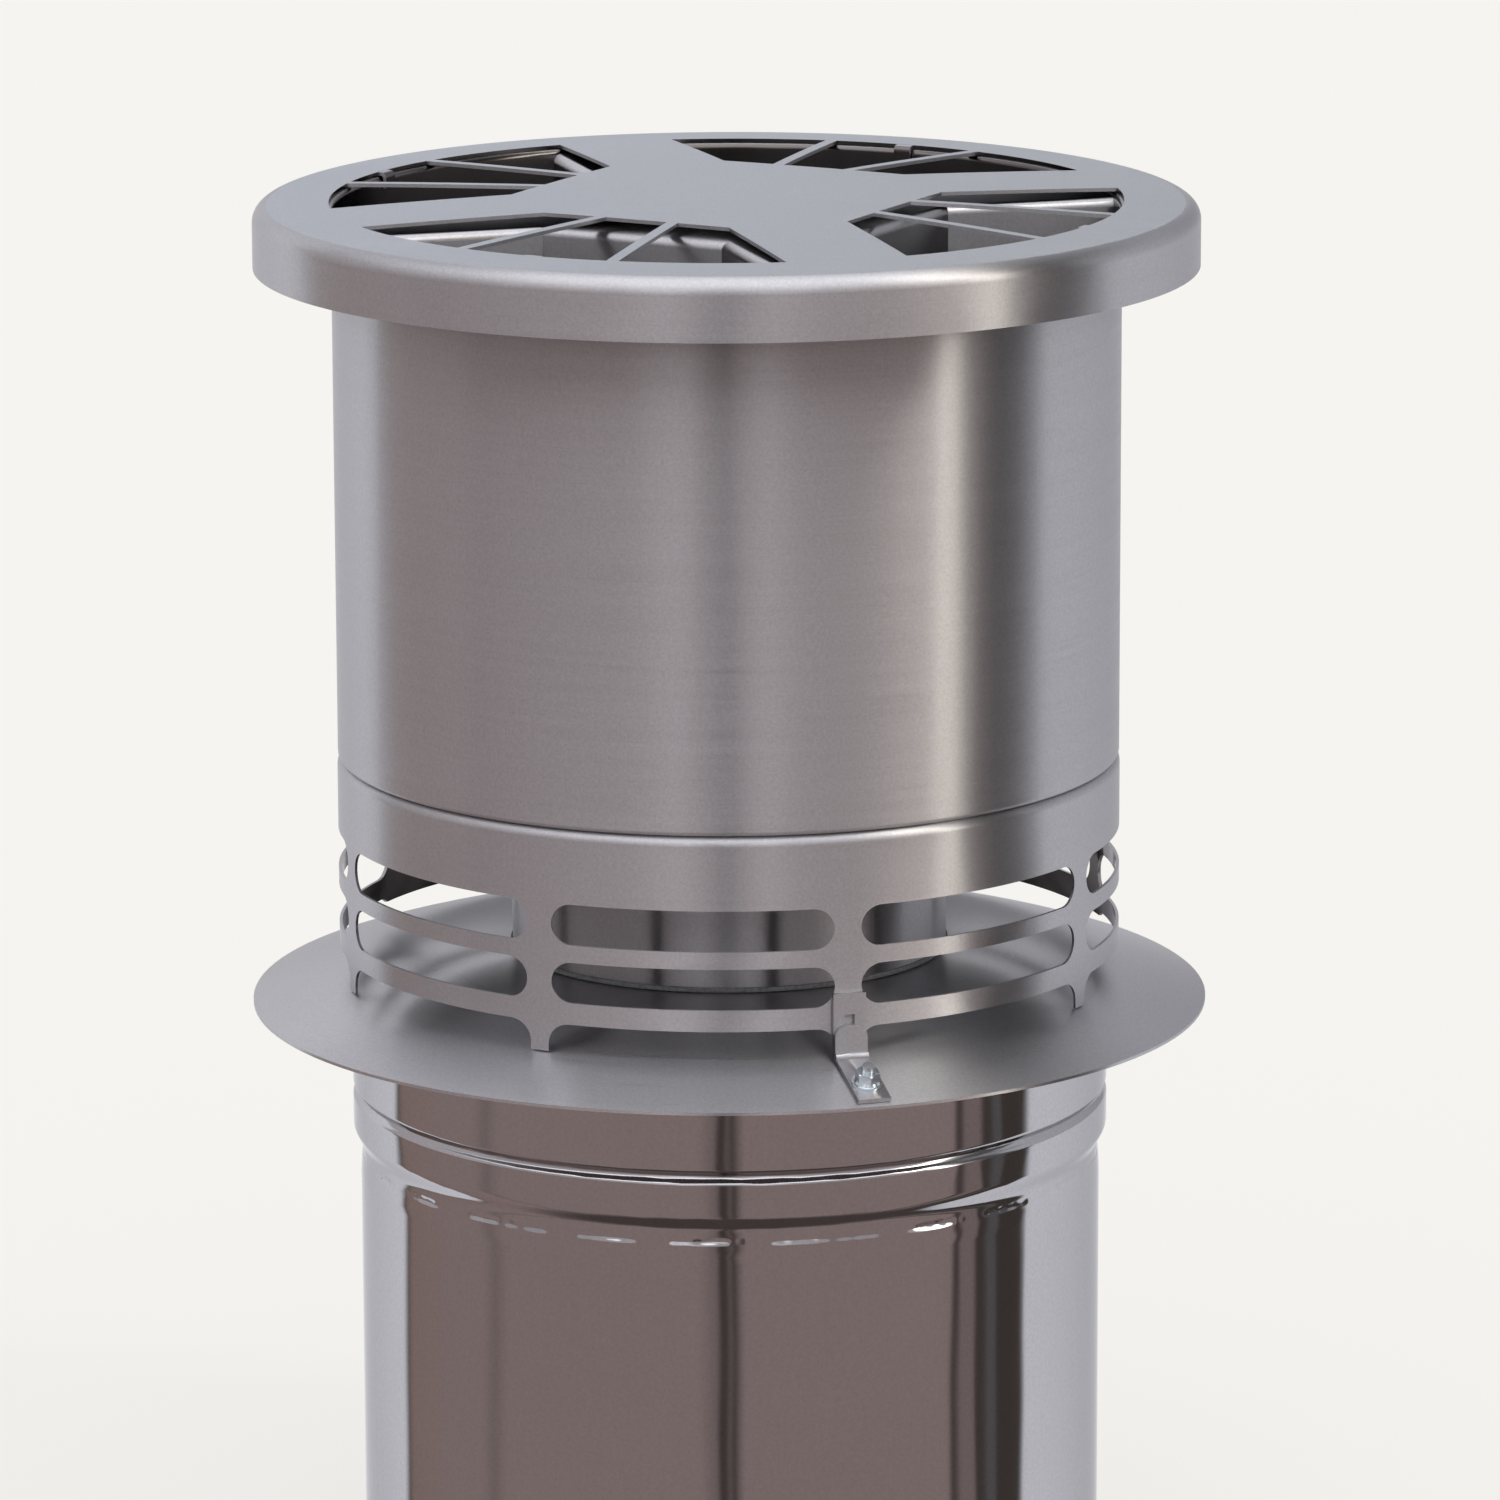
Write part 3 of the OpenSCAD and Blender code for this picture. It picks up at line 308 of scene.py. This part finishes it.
def brushed_sheet(name, rough, aniso, grain, across="both", colour=STEEL):
    """Stainless sheet with a grain that runs round the axis, smoother on its inside and darkened
    there with painted shade.

    The grain's lines follow each other across the height, or with "both" across the height and
    the radius, so that flat rings have them too. On a "lid" they are straight on the flat top.
    """
    material, g = surface(name)
    place, angle, radius, z = round_axis(g)
    along = g.math("MULTIPLY", angle, GRAIN_PER_RADIAN)
    reach = z if across == "height" else g.math("ADD", z, radius)
    tangent = g.node("Tangent", direction_type="RADIAL", axis="Z").outputs[0]
    if across == "lid":
        up = g.dot(g.node("TexCoord").outputs["Normal"], UP)
        flat = g.step(up, *FLAT_TOP)
        along = g.lerp(flat, along, g.math("MULTIPLY", g.dot(place, ACROSS), GRAIN_PER_METRE))
        reach = g.lerp(flat, reach, g.dot(place, TOWARD))
        tangent = g.mix(flat, tangent, ACROSS)
    # Long scratches with wider streaks among them, a fine speck and slow clouds
    scratch = g.drawn_noise((along, 1.0), (reach, 2400.0), layer=0.0, detail=3.0, rough=0.65)
    streak = g.drawn_noise((along, 0.4), (reach, 420.0), layer=4.0, detail=2.0, rough=0.5)
    speck = g.noise(place, scale=1100.0, detail=2.0, rough=0.7)
    cloud = g.noise(place, scale=9.0, detail=2.0, rough=0.5)
    worked = g.toned(colour, (speck, 0.44), (streak, 0.08 * grain), (scratch, 0.16 * grain),
                     (cloud, 0.05))
    # Painted reflection: the flat top's colour is multiplied by the mirrored sky's tint
    if across == "lid":
        worked = g.mix(flat, worked, g.mix(1.0, worked, PAINTED_SKY_TINT, "MULTIPLY"))
    # Painted shade: sheet that faces the axis gets a dark colour for the shade inside it, and a
    # smoother finish
    inside = facing_in(g)
    worked = g.mix(inside, worked, PAINTED_INSIDE_SHADE)
    dull = g.scaled(g.math("SUBTRACT", streak, 0.5), 0.10 * grain, rough)
    dull = g.scaled(inside, INSIDE_ROUGHNESS - rough, dull)
    bump = g.node("Bump", {"Height": scratch, "Strength": 0.06 * grain, "Distance": 0.0004})
    g.cover({"Base Color": worked, "Metallic": 1.0, "Roughness": dull, "Anisotropic": aniso,
             "Anisotropic Rotation": 0.25, "Specular Tint": EDGE_TINT, "Tangent": tangent,
             "Normal": bump.outputs[0]})
    return material


def bright_sheet(name, rough, crease=None):
    """Bright rolled sheet, almost a mirror, with the slow waves of thin metal.

    A crease is the height in metres of a fold line that comes and goes round the sheet.
    """
    material, g = surface(name)
    place, angle, _, z = round_axis(g)
    wave = g.drawn_noise((angle, 2.2), (z, 14.0), layer=0.0, detail=1.0, rough=0.4)
    line = g.drawn_noise((angle, 160.0), (z, 30.0), layer=2.0, detail=2.0, rough=0.6)
    haze = g.noise(place, scale=14.0, detail=3.0, rough=0.6)
    speck = g.noise(place, scale=900.0, detail=2.0, rough=0.7)
    worked = g.toned(BRIGHT, (haze, 0.08), (line, 0.06), (speck, 0.28))
    dull = g.scaled(haze, 0.05, rough - 0.02)
    bump = g.node("Bump", {"Height": wave, "Strength": 0.5, "Distance": 0.0007})
    if crease is not None:
        away = g.math("ABSOLUTE", g.math("SUBTRACT", z, crease))
        breaks = g.drawn_noise((angle, 8.0), (z, 0.0), layer=7.0, detail=2.0, rough=0.5)
        depth = g.step(breaks, 0.40, 0.72)
        groove = g.math("MULTIPLY", g.step(away, 0.0, CREASE_HALF_WIDTH), depth)
        # Deep where the groove is whole, level with the sheet where it fades out
        height = g.math("SUBTRACT", groove, depth)
        bump = g.node("Bump", {"Height": height, "Strength": 1.0, "Distance": CREASE_DEPTH,
                               "Normal": bump.outputs[0]})
    g.cover({"Base Color": worked, "Metallic": 1.0, "Roughness": dull,
             "Specular Tint": EDGE_TINT, "Normal": bump.outputs[0]})
    return material


def plain_metal(name, colour, rough, grain_scale=900.0, depth=0.0001):
    """Metal with an even fine grain: castings, plated screws, turned pieces."""
    material, g = surface(name)
    place = g.node("TexCoord").outputs["Object"]
    grain = g.noise(place, grain_scale, detail=2.0, rough=0.6)
    cloud = g.noise(place, scale=40.0, detail=2.0, rough=0.5)
    worked = g.toned(colour, (cloud, 0.08), (grain, 0.08))
    dull = g.scaled(cloud, 0.08, rough - 0.04)
    bump = g.node("Bump", {"Height": grain, "Strength": 0.3, "Distance": depth})
    g.cover({"Base Color": worked, "Metallic": 1.0, "Roughness": dull,
             "Normal": bump.outputs[0]})
    return material


def matt_stuff(name, colour, other, grain_scale, depth, rough=0.9):
    """Wool, rope gasket, rubber and plastic: two tones and a fine relief."""
    material, g = surface(name)
    place = g.node("TexCoord").outputs["Object"]
    grain = g.noise(place, grain_scale, detail=4.0, rough=0.65)
    bump = g.node("Bump", {"Height": grain, "Strength": 0.6, "Distance": depth})
    g.cover({"Base Color": g.mix(g.step(grain, 0.3, 0.7), colour, other), "Roughness": rough,
             "Normal": bump.outputs[0]})
    return material


# Each material's name, the function that makes it, and what it passes on
LOOKS = (
    ("bright_steel", bright_sheet, dict(rough=0.07)),
    ("creased_jacket", bright_sheet, dict(rough=0.07, crease=CREASE_HEIGHT)),
    ("satin_steel", brushed_sheet, dict(rough=0.33, aniso=1.0, grain=0.5)),
    ("brushed_lid", brushed_sheet, dict(rough=0.36, aniso=0.95, grain=0.8, across="lid")),
    ("rolled_collar", brushed_sheet, dict(rough=0.28, aniso=1.0, grain=0.3,
                                          colour=(0.55, 0.55, 0.57))),
    ("brushed_casing", brushed_sheet, dict(rough=0.34, aniso=1.0, grain=1.0,
                                           across="height")),
    ("zinc_fastener", plain_metal, dict(colour=(0.72, 0.78, 0.82), rough=0.22)),
    ("machined_steel", plain_metal, dict(colour=(0.62, 0.62, 0.64), rough=0.25)),
    ("impeller_steel", plain_metal, dict(colour=(0.50, 0.50, 0.52), rough=0.32)),
    ("plate_steel", plain_metal, dict(colour=(0.46, 0.46, 0.47), rough=0.38)),
    ("cast_aluminium", plain_metal, dict(colour=(0.42, 0.44, 0.47), rough=0.5,
                                         grain_scale=500.0, depth=0.0004)),
    ("core_steel", plain_metal, dict(colour=(0.2, 0.2, 0.22), rough=0.5)),
    ("winding_copper", plain_metal, dict(colour=(0.55, 0.25, 0.12), rough=0.35)),
    ("mineral_wool", matt_stuff, dict(colour=(0.55, 0.45, 0.25), other=(0.72, 0.62, 0.40),
                                      grain_scale=260.0, depth=0.002)),
    ("seal_rubber", matt_stuff, dict(colour=(0.02, 0.02, 0.02), other=(0.035, 0.035, 0.035),
                                     grain_scale=400.0, depth=0.0002, rough=0.55)),
    ("rope_gasket", matt_stuff, dict(colour=(0.16, 0.16, 0.17), other=(0.26, 0.26, 0.27),
                                     grain_scale=700.0, depth=0.0006)),
    ("gland_plastic", matt_stuff, dict(colour=(0.018, 0.018, 0.02), other=(0.03, 0.03, 0.032),
                                       grain_scale=900.0, depth=0.0001, rough=0.45)),
)
# Pieces whose finish differs from others of the same material
OWN_LOOKS = {"base_collar": "rolled_collar", "top_cap": "brushed_lid",
             "flue_jacket": "creased_jacket"}


def dress():
    looks = {name: make(name, **values) for name, make, values in LOOKS}
    slots = {row["node"]: row["material_slot"] for row in frame["record"]["subparts"]}
    slots.update(OWN_LOOKS)
    for name, node in NODES.items():
        node.data.materials.clear()
        node.data.materials.append(looks[slots[name]])


def soften():
    """Lets rounded stretches shade as one surface, and keeps real edges sharp."""
    for node in NODES.values():
        for face in node.data.polygons:
            face.use_smooth = True
        weld = node.modifiers.new("weld", "WELD")
        weld.merge_threshold = WELD_REACH
        split = node.modifiers.new("edges", "EDGE_SPLIT")
        split.split_angle = SHARP_FROM
        split.use_edge_sharp = False
        even = node.modifiers.new("even", "WEIGHTED_NORMAL")
        even.mode = "FACE_AREA"
        even.weight = EVEN_WEIGHT


make_camera()
make_world()
make_floor()
dress()
soften()
SCENE.view_settings.view_transform = "Standard"
